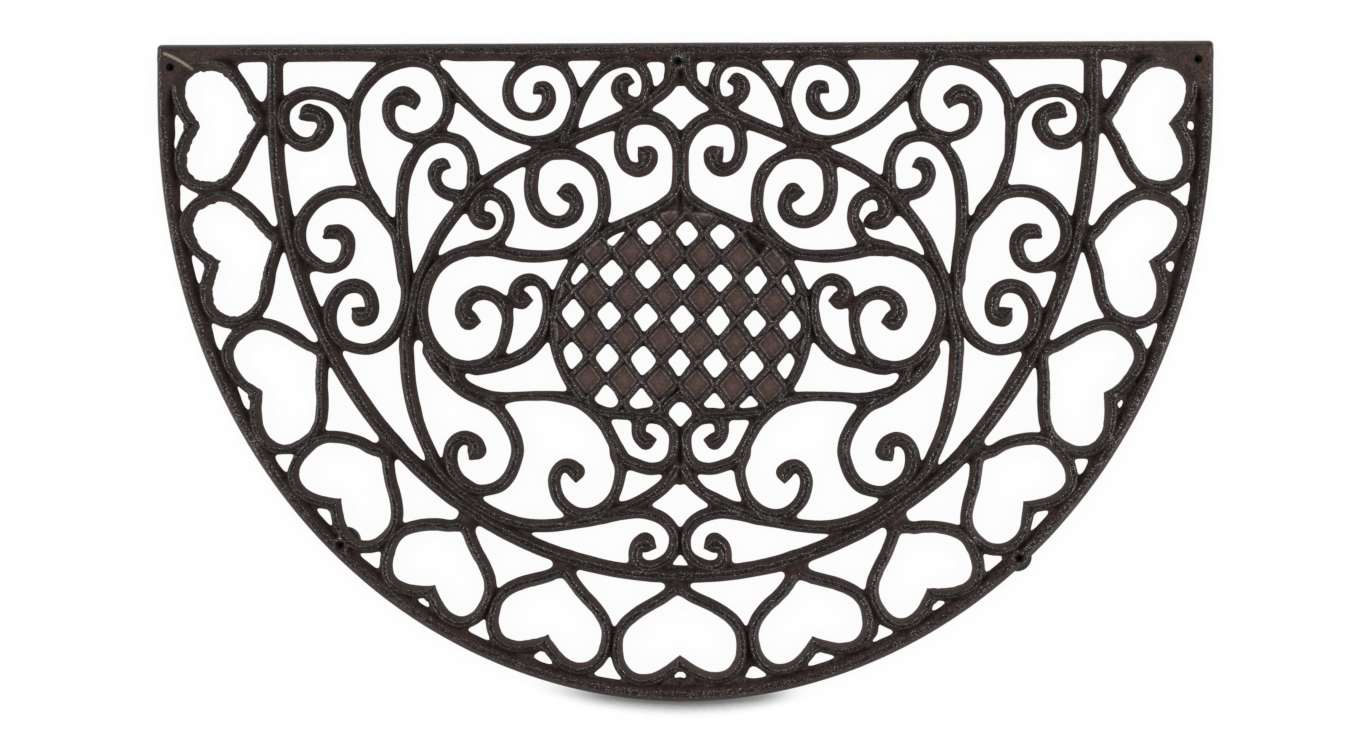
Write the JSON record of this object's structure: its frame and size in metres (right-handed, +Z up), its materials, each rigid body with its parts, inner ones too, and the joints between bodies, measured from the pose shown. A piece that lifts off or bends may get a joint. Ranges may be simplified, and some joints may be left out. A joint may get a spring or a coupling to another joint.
{
  "type": "door mat",
  "caption": "Half-round openwork cast iron door mat with scrollwork, a heart border and a lattice medallion, standing on push-in rubber feet.",
  "frame": {"origin": "on the floor, under the middle of the mat's bounding box", "axes": "+X along the straight back edge, +Y towards the straight back edge, +Z up"},
  "size_m": [0.725, 0.452, 0.015],
  "materials": {
    "cast_iron": "rough sand-cast, dark brown-black with lighter rubbed ridges",
    "rubber": "matt black"
  },
  "bodies": {
    "root": {"mat_casting": "cast_iron", "rubber_foot_back_left": "rubber", "rubber_foot_back_centre": "rubber", "rubber_foot_back_right": "rubber", "rubber_foot_front_left": "rubber", "rubber_foot_front_right": "rubber"}
  },
  "joints": []
}
